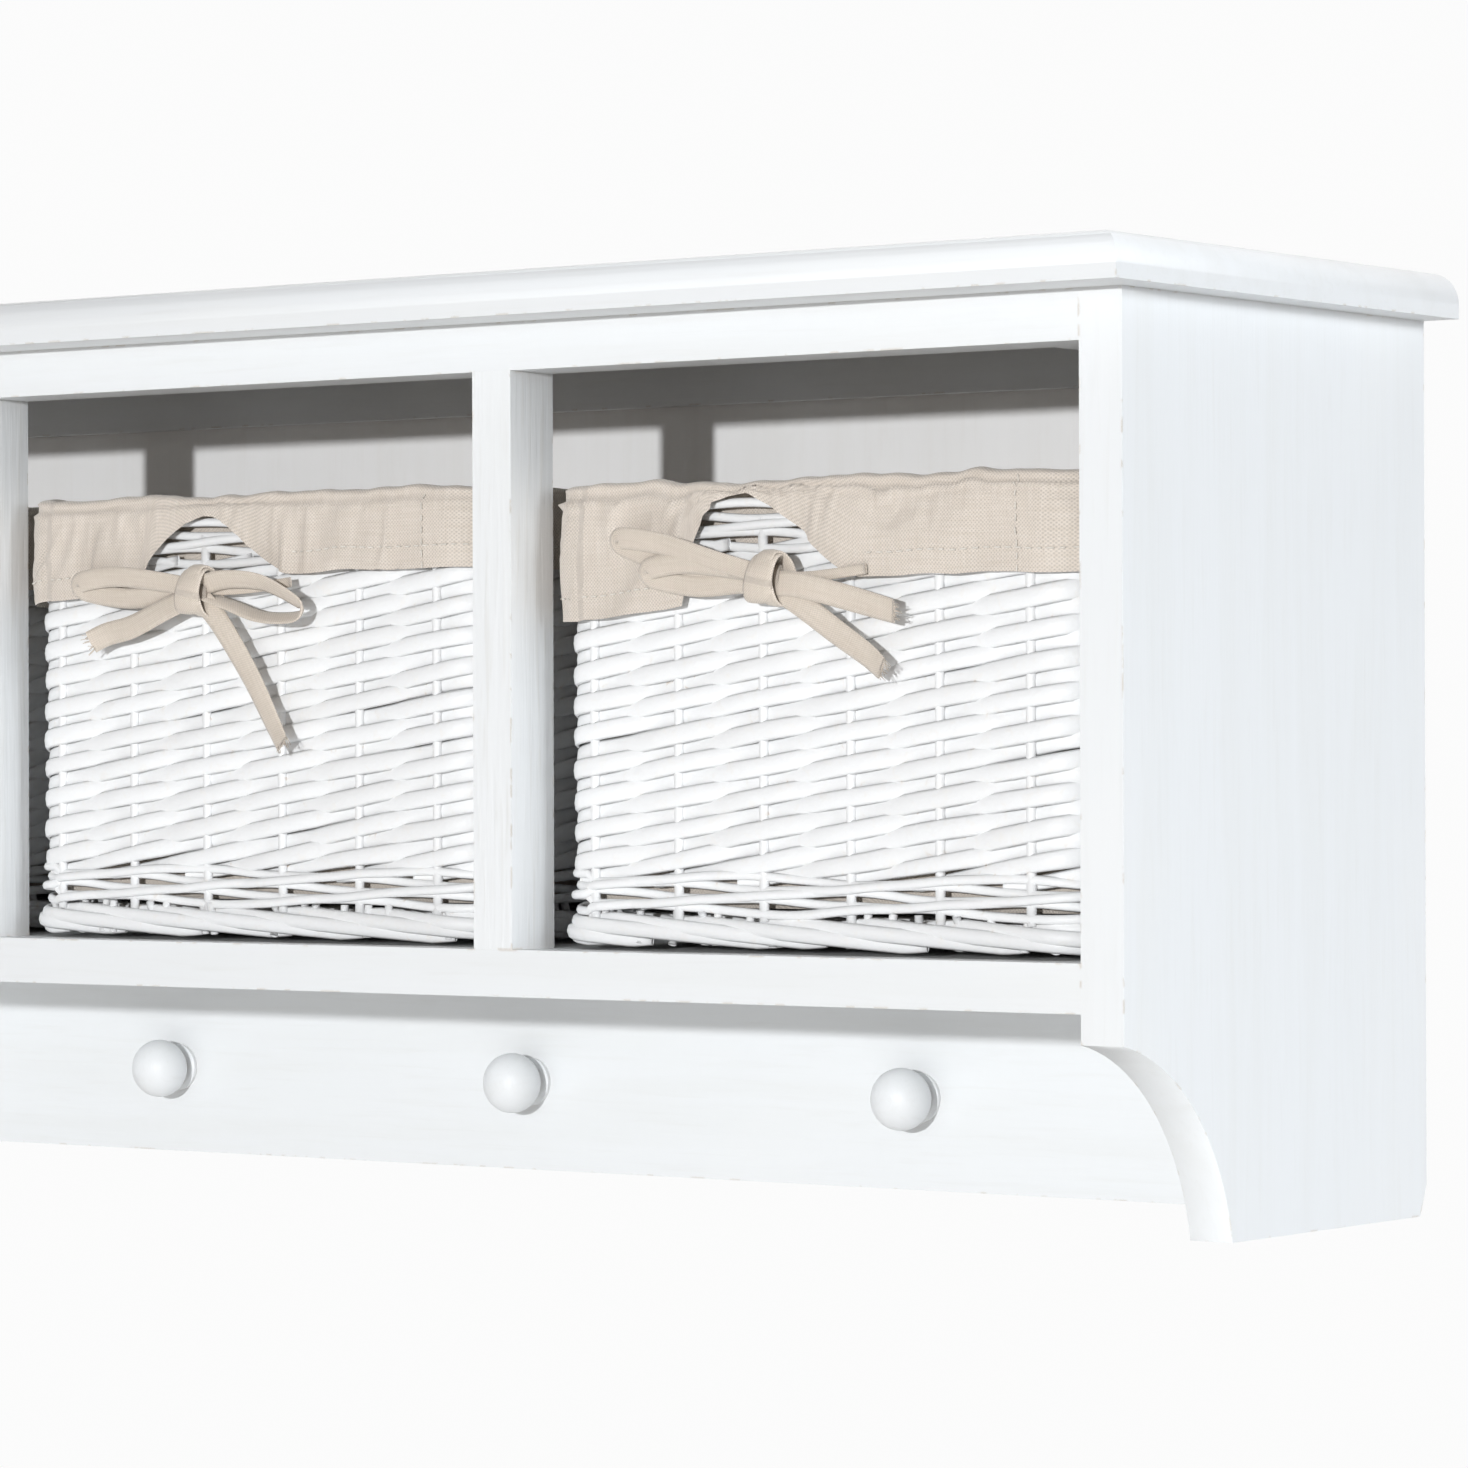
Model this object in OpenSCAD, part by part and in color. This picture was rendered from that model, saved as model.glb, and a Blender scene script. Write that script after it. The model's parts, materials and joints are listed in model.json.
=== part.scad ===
// Painted wall shelf with three open cubbies, a coat-peg rail and three lined wicker baskets.
// Millimetres. X runs to the viewer's right, Y runs into the wall and Z is up. The origin is on
// the wall, halfway along the rear face of the back top rail.

/* [Cubbies] */
// Clear width of each cubby
opening_w = 235; // [200:1:320]
// Clear height of each cubby
opening_h = 202; // [170:1:280]
// Depth of the side panels, from their front edge to the wall
panel_d = 198; // [170:1:260]
// How far the side panels reach below the shelf's top face
panel_drop = 94.5; // [70:0.5:140]

/* [Boards] */
// Thickness of the side panels
panel_t = 16.5; // [12:0.5:25]
// Thickness of the bottom shelf
shelf_t = 16.5; // [12:0.5:25]
// Width of each divider post, seen from the front
post_w = 17; // [12:0.5:25]
// Depth of each divider post
post_d = 24; // [16:1:40]
// Height of the front top rail and of the side battens
rail_h = 17; // [12:0.5:30]
// Depth of the front top rail
rail_d = 24; // [16:1:40]
// Thickness of the back top rail
back_rail_t = 17; // [12:0.5:25]
// How far the back top rail hangs below the front one
back_rail_drop = 1.5; // [0:0.5:10]
// Width of each side batten under the top board
batten_w = 26; // [16:1:40]
// Thickness of the back panel
back_t = 9; // [4:0.5:12]
// Thickness of the peg rail
peg_rail_t = 16.5; // [12:0.5:25]
// How far the peg rail stops above the bottom of the side panels
peg_rail_lift = 1; // [0:0.5:10]

/* [Top board] */
// Thickness of the top board
top_t = 16.5; // [12:0.5:25]
// Overhang past each side panel
side_overhang = 14; // [5:0.5:30]
// Overhang past the front of the side panels
front_overhang = 25.5; // [5:0.5:40]
// Radius of the rounded upper edge
edge_r = 11.5; // [3:0.5:12]

/* [Corbel curve] */
// Radius of the hollow curve under the front of each side panel
cove_r = 84.6; // [60:0.1:120]
// Distance of the curve's centre in front of the panel
cove_ahead = 16.3; // [0:0.1:40]
// Depth of the curve's centre below the shelf's top face
cove_drop = 109.5; // [90:0.5:160]
// Depth of the chamfer at the rear bottom corner of each side panel
heel_d = 4.6; // [0:0.1:10]
// Height of that chamfer
heel_h = 11; // [0:0.5:20]

/* [Pegs] */
// Distance between neighbouring pegs
peg_pitch = 182.5; // [120:0.5:260]
// Depth of the pegs' axis below the shelf's top face
peg_drop = 59.3; // [40:0.1:90]
// Radius of the knob
knob_r = 11.6; // [8:0.1:18]
// Radius of the flange against the rail
flange_r = 9.3; // [6:0.1:15]
// Radius of the neck
neck_r = 6.2; // [4:0.1:9]
// Radius of the tenon glued into the rail
tenon_r = 4.75; // [3:0.05:7]
// Length of the tenon
tenon_l = 14; // [8:0.5:15]

/* [Baskets] */
// Width of the woven wall
basket_w = 223; // [180:1:300]
// Depth of the woven wall
basket_d = 164; // [120:1:230]
// Radius of the upright corners
basket_r = 18; // [8:1:40]
// Thickness of the woven wall
weave_t = 6; // [3:0.5:10]
// Setback of the woven wall behind the side panels' front edge
basket_setback = 14; // [6:0.5:30]
// Height of the wicker, without the liner
basket_h = 156; // [100:1:190]
// Height of the rolled foot border
foot_h = 13; // [6:0.5:20]
// How far the foot border stands out from the wall
foot_proud = 3; // [0:0.5:6]
// Height of the plaited rim
rim_h = 10; // [5:0.5:20]
// Gap between the foot border and the shelf
foot_gap = 0.5; // [0.3:0.1:2]

/* [Liner] */
// Thickness of the linen lining
lining_t = 1.5; // [1:0.1:3]
// Thickness of the turned-down cuff
cuff_t = 3; // [1:0.1:5]
// Height of the cuff's hem above the shelf
hem_z = 124; // [90:1:150]
// Height of the folded top edge above the rim
fold_h = 5; // [2:0.5:10]
// Width of the arched notch in the front of the cuff
notch_w = 62; // [30:1:90]
// Height of the notch's crown above the shelf
notch_top = 155; // [130:1:158]
// Width of the ribbon
ribbon_w = 7; // [4:0.5:14]

/* [Fixings] */
// Radius of the large dowels
dowel_r = 4; // [3:0.5:5]
// Radius of the small dowels
small_dowel_r = 3; // [2:0.5:4]
// Glue gap round every dowel, screw and tenon
glue_gap = 0.1; // [0.05:0.05:0.3]
// Radius of the keyhole's round entry
keyhole_r = 4.5; // [3:0.1:6]
// Radius of the keyhole's slot
slot_r = 2.2; // [1.5:0.1:3]
// Thickness of the steel hanger plates
plate_t = 2; // [1:0.5:3]

/* [Hidden] */
$fn = 64;
opening_count = 3;
inner_w = opening_count * opening_w + (opening_count - 1) * post_w;
outer_w = inner_w + 2 * panel_t;
bay_pitch = opening_w + post_w;
shelf_z = -(opening_h + rail_h / 2);
rail_z = shelf_z + opening_h;
top_z = rail_z + rail_h;
panel_bottom = shelf_z - panel_drop;
shelf_under = shelf_z - shelf_t;
peg_rail_bottom = panel_bottom + peg_rail_lift;
back_rail_bottom = rail_z - back_rail_drop;
rebate = 9;
peg_z = shelf_z - peg_drop;
pegs_x = [-peg_pitch, 0, peg_pitch];
posts_x = [-bay_pitch / 2, bay_pitch / 2];
bays_x = [-bay_pitch, 0, bay_pitch];
shelf_dowel_y = [-168, -99, -30];
peg_rail_dowel_z = [shelf_z - 36, shelf_z - 74];
dowel_l = 30;
dowel_in = 12;
rail_dowel_y = -panel_d + rail_d / 2;
back_dowel_y = -12;
back_dowel_z = top_z - 6;
post_y = -panel_d + post_d / 2;
batten_screw_y = [-140, -60];
top_screw_y = [-150, -95, -45];
batten_mid = inner_w / 2 - batten_w / 2;
back_screw_x = [-250, 0, 250];
pin_x = [-310, -190, -65, 65, 190, 310];
plate_w = 12;
plate_h = 42;
plate_z = shelf_z + 178;
panel_mid = inner_w / 2 + panel_t / 2;
plate_screw_dz = [-16, 16];
basket_front = -panel_d + basket_setback;
basket_y = basket_front + basket_d / 2;

paint = [0.94, 0.94, 0.92];
wicker_paint = [0.95, 0.94, 0.91];
linen = [0.82, 0.78, 0.70];
steel = [0.62, 0.63, 0.65];
beech = [0.80, 0.66, 0.47];

// ---- shared shapes ----

// Extrudes a profile drawn in Y and Z along X, from x to x + length.
module along_x(x, length) {
    translate([x, 0, 0])
        rotate([90, 0, 90])
            linear_extrude(height = length)
                children();
}

// Extrudes a profile drawn in X and Z along Y, from y to y + length.
module along_y(y, length) {
    translate([0, y + length, 0])
        rotate([90, 0, 0])
            linear_extrude(height = length)
                children();
}

// A box given by its lowest corner and its size.
module slab(low, size) {
    translate(low)
        cube(size);
}

// A rod along +X, -X, +Y or +Z, starting at a point.
module rod(start, direction, length, r) {
    translate(start)
        rotate(direction)
            cylinder(r = r, h = length);
}

to_right = [0, 90, 0];
to_left = [0, -90, 0];
to_front = [90, 0, 0];
upward = [0, 0, 0];

// A countersunk wood screw whose flat head starts at a point.
module screw(start, direction, length, head_r, shank_r, grow = 0) {
    head_h = head_r - shank_r;
    translate(start)
        rotate(direction) {
            cylinder(r1 = head_r + grow, r2 = shank_r + grow, h = head_h);
            cylinder(r = shank_r + grow, h = length + grow);
        }
}

// A rectangle with round corners, centred, from squares and circles.
module round_rect(w, d, r) {
    square([w - 2 * r, d], center = true);
    square([w, d - 2 * r], center = true);
    for (sx = [-1, 1], sy = [-1, 1])
        translate([sx * (w / 2 - r), sy * (d / 2 - r)])
            circle(r = r);
}

// An upright ring: the outline grown by `outside` and hollowed to `inside`, measured from the
// woven wall's outer face.
module ring(z, h, outside, inside) {
    translate([0, basket_y, z])
        linear_extrude(height = h)
            difference() {
                round_rect(basket_w + 2 * outside, basket_d + 2 * outside, basket_r + outside);
                round_rect(basket_w + 2 * inside, basket_d + 2 * inside, basket_r + inside);
            }
}

// ---- joinery, as bodies (grow = 0) and as the holes they sit in (grow = glue_gap) ----

module shelf_dowel_set(side, grow = 0) {
    for (y = shelf_dowel_y)
        rod([side * (inner_w / 2 + dowel_in), y, shelf_z - shelf_t / 2], side > 0 ? to_left : to_right,
            dowel_l, dowel_r + grow);
}

module peg_rail_dowel_set(side, grow = 0) {
    for (z = peg_rail_dowel_z)
        rod([side * (inner_w / 2 + dowel_in), -peg_rail_t / 2, z], side > 0 ? to_left : to_right,
            dowel_l, dowel_r + grow);
}

module top_rail_dowel_set(side, grow = 0) {
    rod([side * (inner_w / 2 + dowel_in), rail_dowel_y, rail_z + rail_h / 2], side > 0 ? to_left : to_right,
        dowel_l, small_dowel_r + grow);
    rod([side * (inner_w / 2 + dowel_in), back_dowel_y, back_dowel_z], side > 0 ? to_left : to_right,
        dowel_l, small_dowel_r + grow);
}

module post_dowel_set(x, grow = 0) {
    rod([x, post_y, shelf_z - dowel_in], upward, 2 * dowel_in, small_dowel_r + grow);
    rod([x, post_y, rail_z - dowel_in], upward, 2 * dowel_in, small_dowel_r + grow);
}

module batten_screw_set(side, grow = 0) {
    for (y = batten_screw_y)
        screw([side * (inner_w / 2 - batten_w), y, rail_z + rail_h / 2], side > 0 ? to_right : to_left,
              36, 3.8, 1.9, grow);
}

module top_screw_set(grow = 0) {
    for (side = [-1, 1], y = top_screw_y)
        screw([side * batten_mid, y, rail_z], upward, 29, 3.8, 1.9, grow);
    for (x = back_screw_x)
        screw([x, -12.8, back_rail_bottom], upward, 30.5, 3.8, 1.9, grow);
}

module pin_set(grow = 0) {
    for (x = pin_x) {
        rod([x, 0, shelf_z - 4.5], to_front, 18, 0.8 + grow);
        rod([x, 0, back_rail_bottom + 4.2], to_front, 15, 0.8 + grow);
    }
}

module plate_screw_set(side, grow = 0) {
    for (dz = plate_screw_dz)
        screw([side * panel_mid, 0, plate_z + dz], to_front, 16, 3, 1.5, grow);
}

// ---- carcass ----

module top_board() {
    w = outer_w + 2 * side_overhang;
    front = -panel_d - front_overhang;
    flat = top_t - edge_r;
    color(paint)
        difference() {
            intersection() {
                along_x(-w / 2, w) {
                    translate([front, top_z])
                        square([panel_d + front_overhang, flat]);
                    translate([front + edge_r, top_z])
                        square([panel_d + front_overhang - edge_r, top_t]);
                    translate([front + edge_r, top_z + flat])
                        circle(r = edge_r);
                }
                along_y(front, panel_d + front_overhang) {
                    translate([-w / 2, top_z])
                        square([w, flat]);
                    translate([-w / 2 + edge_r, top_z])
                        square([w - 2 * edge_r, top_t]);
                    for (side = [-1, 1])
                        translate([side * (w / 2 - edge_r), top_z + flat])
                            circle(r = edge_r);
                }
                slab([-w / 2, front, top_z], [w, panel_d + front_overhang, top_t]);
            }
            top_screw_set(glue_gap);
        }
}

// A side panel with the hollow corbel curve; side is -1 for left and 1 for right.
module side_panel(side) {
    color(paint)
        difference() {
            along_x(side > 0 ? inner_w / 2 : -outer_w / 2, panel_t)
                difference() {
                    translate([-panel_d, panel_bottom])
                        square([panel_d, top_z - panel_bottom]);
                    translate([-panel_d - cove_ahead, shelf_z - cove_drop])
                        circle(r = cove_r, $fn = 128);
                    polygon([[-heel_d, panel_bottom - 1], [1, panel_bottom - 1],
                             [1, panel_bottom + heel_h], [0, panel_bottom + heel_h],
                             [-heel_d, panel_bottom]]);
                }
            shelf_dowel_set(side, glue_gap);
            peg_rail_dowel_set(side, glue_gap);
            top_rail_dowel_set(side, glue_gap);
            batten_screw_set(side, glue_gap);
            plate_screw_set(side, glue_gap);
            slab([side * panel_mid - plate_w / 2 - glue_gap, -plate_t, plate_z - plate_h / 2 - glue_gap],
                 [plate_w + 2 * glue_gap, plate_t + 1, plate_h + 2 * glue_gap]);
            slab([side * panel_mid - 4.8, -10, plate_z - 9], [9.6, 9, 19]);
        }
}

module bottom_shelf() {
    color(paint)
        difference() {
            slab([-inner_w / 2, -panel_d, shelf_under], [inner_w, panel_d, shelf_t]);
            slab([-inner_w / 2 - 1, -rebate, shelf_z - rebate], [inner_w + 2, rebate + 1, rebate + 1]);
            for (side = [-1, 1])
                shelf_dowel_set(side, glue_gap);
            for (x = posts_x)
                post_dowel_set(x, glue_gap);
            pin_set(glue_gap);
        }
}

module front_top_rail() {
    color(paint)
        difference() {
            slab([-inner_w / 2, -panel_d, rail_z], [inner_w, rail_d, rail_h]);
            for (side = [-1, 1])
                top_rail_dowel_set(side, glue_gap);
            for (x = posts_x)
                post_dowel_set(x, glue_gap);
        }
}

module back_top_rail() {
    color(paint)
        difference() {
            slab([-inner_w / 2, -back_rail_t, back_rail_bottom], [inner_w, back_rail_t, top_z - back_rail_bottom]);
            slab([-inner_w / 2 - 1, -rebate, back_rail_bottom - 1], [inner_w + 2, rebate + 1, rebate]);
            for (side = [-1, 1])
                top_rail_dowel_set(side, glue_gap);
            top_screw_set(glue_gap);
            pin_set(glue_gap);
        }
}

// The batten along the inside top of a side panel, which carries the top board.
module top_batten(side) {
    color(paint)
        difference() {
            slab([side > 0 ? inner_w / 2 - batten_w : -inner_w / 2, -panel_d + rail_d, rail_z],
                 [batten_w, panel_d - rail_d - back_rail_t, rail_h]);
            batten_screw_set(side, glue_gap);
            top_screw_set(glue_gap);
        }
}

module back_panel() {
    color(paint)
        difference() {
            slab([-inner_w / 2, -back_t, shelf_z - rebate],
                 [inner_w, back_t, back_rail_bottom - 1 - shelf_z + 2 * rebate]);
            pin_set(glue_gap);
        }
}

module divider_post(x) {
    color(paint)
        difference() {
            slab([x - post_w / 2, -panel_d, shelf_z], [post_w, post_d, opening_h]);
            post_dowel_set(x, glue_gap);
        }
}

module peg_rail() {
    color(paint)
        difference() {
            slab([-inner_w / 2, -peg_rail_t, peg_rail_bottom],
                 [inner_w, peg_rail_t, shelf_under - peg_rail_bottom]);
            for (side = [-1, 1])
                peg_rail_dowel_set(side, glue_gap);
            for (x = pegs_x)
                rod([x, -peg_rail_t + tenon_l + 0.3, peg_z], to_front, tenon_l + 1, tenon_r + glue_gap);
        }
}

// A turned mushroom peg: tenon, flange, hollow neck and slightly flattened knob.
module peg(x) {
    knob_c = 12.5;
    squash = 0.9;
    knob_steps = 20;
    start = asin((neck_r + 1.2) / knob_r);
    knob_side = [for (i = [0:knob_steps - 1]) let (a = (180 - start) * (1 - i / knob_steps))
        [knob_r * sin(a), knob_c + knob_r * squash * cos(a)]];
    color(paint)
        translate([x, -peg_rail_t, peg_z])
            rotate([90, 0, 0]) {
                translate([0, 0, -tenon_l])
                    cylinder(r = tenon_r, h = tenon_l);
                rotate_extrude()
                    polygon(concat([[0, 0], [flange_r, 0], [flange_r, 1.6], [flange_r - 1.4, 2.6],
                                    [neck_r, 3.2], [neck_r, 4]],
                                   knob_side, [[0, knob_c + knob_r * squash]]));
            }
}

// ---- fixings ----

// A steel keyhole plate let into the rear edge of a side panel.
module hanger_plate(side) {
    color(steel)
        difference() {
            slab([side * panel_mid - plate_w / 2, -plate_t, plate_z - plate_h / 2], [plate_w, plate_t, plate_h]);
            rod([side * panel_mid, 1, plate_z - 4], to_front, plate_t + 2, keyhole_r);
            rod([side * panel_mid, 1, plate_z + 6.5], to_front, plate_t + 2, slot_r);
            slab([side * panel_mid - slot_r, -plate_t - 1, plate_z - 4], [2 * slot_r, plate_t + 2, 10.5]);
            plate_screw_set(side, glue_gap);
        }
}

module hanger_screws() {
    color(steel)
        for (side = [-1, 1])
            plate_screw_set(side);
}

module shelf_dowels() {
    color(beech)
        for (side = [-1, 1])
            shelf_dowel_set(side);
}

module peg_rail_dowels() {
    color(beech)
        for (side = [-1, 1])
            peg_rail_dowel_set(side);
}

module top_rail_dowels() {
    color(beech)
        for (side = [-1, 1])
            top_rail_dowel_set(side);
}

module post_dowels() {
    color(beech)
        for (x = posts_x)
            post_dowel_set(x);
}

module batten_screws() {
    color(steel)
        for (side = [-1, 1])
            batten_screw_set(side);
}

module top_board_screws() {
    color(steel)
        top_screw_set();
}

module back_panel_pins() {
    color(steel)
        pin_set();
}

// ---- baskets; x is the middle of the cubby ----

module basket_wall(x) {
    color(wicker_paint)
        translate([x, 0, 0])
            ring(shelf_z + foot_h, basket_h - rim_h - foot_h, 0, -weave_t);
}

module basket_base(x) {
    color(wicker_paint)
        translate([x, basket_y, shelf_z + 6])
            linear_extrude(height = foot_h - 6)
                round_rect(basket_w - 2 * weave_t - 6, basket_d - 2 * weave_t - 6, basket_r - weave_t - 3);
}

module basket_foot_border(x) {
    color(wicker_paint)
        translate([x, 0, 0])
            ring(shelf_z + foot_gap, foot_h - foot_gap, foot_proud, -weave_t - 3);
}

module basket_rim(x) {
    color(wicker_paint)
        translate([x, 0, 0])
            ring(shelf_z + basket_h - rim_h, rim_h, 0, -weave_t);
}

// The linen lining: bag, folded top edge and turned-down cuff with an arched notch in front.
module basket_liner(x, notch_x) {
    bag = -weave_t - 0.3;
    cuff = 0.3;
    color(linen)
        translate([x, 0, 0])
            difference() {
                union() {
                    ring(shelf_z + foot_h, basket_h - foot_h + 0.3, bag, bag - lining_t);
                    ring(shelf_z + basket_h + 0.3, fold_h, cuff + cuff_t, bag - lining_t);
                    ring(shelf_z + hem_z, basket_h + 0.3 - hem_z, cuff + cuff_t, cuff);
                    translate([0, basket_y, shelf_z + foot_h])
                        linear_extrude(height = lining_t)
                            round_rect(basket_w + 2 * bag, basket_d + 2 * bag, basket_r + bag);
                }
                translate([notch_x, 0, 0])
                    along_y(basket_front - cuff_t - 2, cuff_t + 1.9) {
                        translate([0, shelf_z + notch_top - notch_w / 2])
                            circle(r = notch_w / 2);
                        translate([-notch_w / 2, shelf_z + hem_z - 1])
                            square([notch_w, notch_top - notch_w / 2 - hem_z + 1]);
                    }
            }
}

// One ribbon loop as a flat teardrop ring from the knot to its tip.
module ribbon_loop(tip, half) {
    reach = norm(tip);
    steps = 28;
    outer = [for (i = [0:steps - 1]) let (a = 360 * i / steps)
        [reach * (1 - cos(a)) / 2, half * sin(a) * sin(a / 2)]];
    inner = [for (p = outer) [p[0] * 0.86 + reach * 0.05, p[1] * 0.6]];
    rotate(atan2(tip[1], tip[0]))
        difference() {
            polygon(outer);
            polygon(inner);
        }
}

// One ribbon tail from the knot to its cut end.
module ribbon_tail(tip) {
    rotate(atan2(tip[1], tip[0]))
        translate([0, -ribbon_w / 2])
            square([norm(tip), ribbon_w]);
}

// The bow in front of the cuff: knot, two loops and two tails.
module basket_bow(x, knot, loops, tails) {
    front = basket_front - cuff_t - 0.6;
    color(linen)
        translate([x + knot[0], 0, shelf_z + knot[1]]) {
            along_y(front - 4, 4) {
                for (tip = loops)
                    ribbon_loop(tip, 9);
                for (tip = tails)
                    ribbon_tail(tip);
                circle(r = 5);
            }
            translate([0, front - 4.5, 0])
                sphere(r = 4.4);
        }
}

top_board();
side_panel(-1);  // left_side_panel
side_panel(1);  // right_side_panel
bottom_shelf();
front_top_rail();
back_top_rail();
top_batten(-1);  // left_top_batten
top_batten(1);  // right_top_batten
back_panel();
peg_rail();
divider_post(posts_x[0]);  // left_divider_post
divider_post(posts_x[1]);  // right_divider_post
peg(pegs_x[0]);  // left_peg
peg(pegs_x[1]);  // centre_peg
peg(pegs_x[2]);  // right_peg
hanger_plate(-1);  // left_hanger_plate
hanger_plate(1);  // right_hanger_plate
hanger_screws();
shelf_dowels();
peg_rail_dowels();
top_rail_dowels();
post_dowels();
batten_screws();
top_board_screws();
back_panel_pins();
basket_wall(bays_x[0]);  // left_basket_wall
basket_base(bays_x[0]);  // left_basket_base
basket_foot_border(bays_x[0]);  // left_basket_foot_border
basket_rim(bays_x[0]);  // left_basket_rim
basket_liner(bays_x[0], -6);  // left_basket_liner
basket_bow(bays_x[0], [-6, 129], [[-50, -8], [52, 6]], [[-38, -44], [46, -22]]);  // left_basket_bow
basket_wall(bays_x[1]);  // middle_basket_wall
basket_base(bays_x[1]);  // middle_basket_base
basket_foot_border(bays_x[1]);  // middle_basket_foot_border
basket_rim(bays_x[1]);  // middle_basket_rim
basket_liner(bays_x[1], -14);  // middle_basket_liner
basket_bow(bays_x[1], [-15, 128], [[-58, 2], [50, -5]], [[-53, -18], [41, -56]]);  // middle_basket_bow
basket_wall(bays_x[2]);  // right_basket_wall
basket_base(bays_x[2]);  // right_basket_base
basket_foot_border(bays_x[2]);  // right_basket_foot_border
basket_rim(bays_x[2]);  // right_basket_rim
basket_liner(bays_x[2], -16);  // right_basket_liner
basket_bow(bays_x[2], [-10, 128], [[-64, 14], [-52, 5]], [[52, -12], [47, -30]]);  // right_basket_bow
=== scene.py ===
# %% [markdown]
# # A painted wall shelf with lined wicker baskets
#
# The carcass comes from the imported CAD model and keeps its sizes. This script paints it, weaves
# the baskets rod by rod, sews the linen liners and ties their bows. Lengths are in metres, in
# the part's own frame: X to the right, Y into the wall, Z up, origin on the wall.

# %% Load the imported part
import json
import math
import random

import bpy
from mathutils import Matrix, Vector, noise


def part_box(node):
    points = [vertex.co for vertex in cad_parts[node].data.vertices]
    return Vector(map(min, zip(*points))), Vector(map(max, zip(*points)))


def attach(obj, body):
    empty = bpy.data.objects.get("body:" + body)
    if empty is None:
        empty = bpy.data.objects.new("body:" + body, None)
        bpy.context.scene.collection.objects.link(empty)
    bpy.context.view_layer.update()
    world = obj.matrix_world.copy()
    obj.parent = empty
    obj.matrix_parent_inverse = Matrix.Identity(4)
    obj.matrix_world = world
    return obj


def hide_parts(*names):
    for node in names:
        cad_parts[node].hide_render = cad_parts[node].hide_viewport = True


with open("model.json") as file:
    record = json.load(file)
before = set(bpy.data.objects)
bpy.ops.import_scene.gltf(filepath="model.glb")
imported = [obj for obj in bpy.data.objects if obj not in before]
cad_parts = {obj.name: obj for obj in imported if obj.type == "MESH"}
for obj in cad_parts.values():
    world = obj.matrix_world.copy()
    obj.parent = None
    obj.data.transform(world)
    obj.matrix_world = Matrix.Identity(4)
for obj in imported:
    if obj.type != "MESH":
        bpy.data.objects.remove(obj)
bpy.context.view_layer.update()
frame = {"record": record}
MM = 0.001
SIDES = ("left", "middle", "right")

# %% [markdown]
# ## Camera, floor and light
#
# The shelf is seen from its right and at its own height, so both its top and its underside are
# hidden. A long lens from 1.9 m away keeps the boards almost parallel.

# %% Camera
camera_data = bpy.data.cameras.new("view_camera")
camera_data.sensor_width = 36
camera_data.lens = 137.75
camera = bpy.data.objects.new("view_camera", camera_data)
bpy.context.scene.collection.objects.link(camera)
camera.location = (1.353, -1.732, -0.1396)
turn = Matrix.Rotation(math.radians(36.19), 4, "Z")
tilt = Matrix.Rotation(math.radians(90.12), 4, "X")
lean = Matrix.Rotation(math.radians(-0.18), 4, "Z")
camera.rotation_euler = (turn @ tilt @ lean).to_euler()
bpy.context.scene.camera = camera
print("camera at", tuple(camera.location))

# %% [markdown]
# The key lamp stands about four metres off, almost straight in front, a little to the right and a
# little above. It is small enough to leave readable shadows: the posts' on the back panel and the
# shelf's on the peg rail. A broad light from the right opens the side panel, weak ones from below,
# above and behind are the room's bounce, and a warm one from the front reaches into the cubbies.

# %% Lights, room and floor
def sunlight(name, direction, power, softness, colour):
    data = bpy.data.lights.new(name, "SUN")
    data.energy = power
    data.angle = math.radians(softness)
    data.color = colour
    light = bpy.data.objects.new(name, data)
    bpy.context.scene.collection.objects.link(light)
    light.rotation_euler = Vector(direction).to_track_quat("-Z", "Y").to_euler()


lamp_data = bpy.data.lights.new("key_light", "POINT")
lamp_data.energy = 358
lamp_data.shadow_soft_size = 0.04
lamp_data.color = (0.975, 0.985, 1.0)
lamp = bpy.data.objects.new("key_light", lamp_data)
bpy.context.scene.collection.objects.link(lamp)
lamp.location = (1.19, -3.60, 0.16)
sunlight("side_light", (-1.0, 0.02, -0.12), 2.45, 26, (0.925, 0.96, 1.0))
sunlight("floor_bounce", (-0.20, 0.25, 0.90), 0.30, 60, (0.97, 0.985, 1.0))
sunlight("ceiling_bounce", (-0.03, 0.03, -1.0), 1.10, 20, (0.96, 0.98, 1.0))
sunlight("front_fill", (-0.05, 1.0, 0.06), 0.42, 50, (1.0, 0.955, 0.92))
sunlight("back_light", (0.35, -1.0, -0.3), 1.25, 60, (1.0, 0.985, 0.97))

room = bpy.data.worlds.new("pale_room")
bpy.context.scene.world = room
room.use_nodes = True
fill = room.node_tree.nodes["Background"]
fill.inputs["Color"].default_value = (1.0, 0.89, 0.82, 1)
fill.inputs["Strength"].default_value = 0.12
backdrop = room.node_tree.nodes.new("ShaderNodeBackground")
backdrop.inputs["Color"].default_value = (0.97, 0.97, 0.97, 1)
seen = room.node_tree.nodes.new("ShaderNodeLightPath")
choice = room.node_tree.nodes.new("ShaderNodeMixShader")
room.node_tree.links.new(seen.outputs["Is Camera Ray"], choice.inputs[0])
room.node_tree.links.new(fill.outputs[0], choice.inputs[1])
room.node_tree.links.new(backdrop.outputs[0], choice.inputs[2])
room.node_tree.links.new(choice.outputs[0], room.node_tree.nodes["World Output"].inputs[0])

bpy.ops.mesh.primitive_plane_add(size=3.2, location=(0, -0.6, -1.15))
floor = bpy.context.object
floor.name = "studio_floor"
bpy.context.scene.view_settings.view_transform = "Standard"
print("key light and floor are in")

# %% [markdown]
# ## A small language for surface finishes
#
# A finish is easier to read as arithmetic than as a list of nodes. `Value` wraps one output, so
# `a * 2 + b` makes the Math nodes, and `Finish.add` makes any other node in one line.

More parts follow.
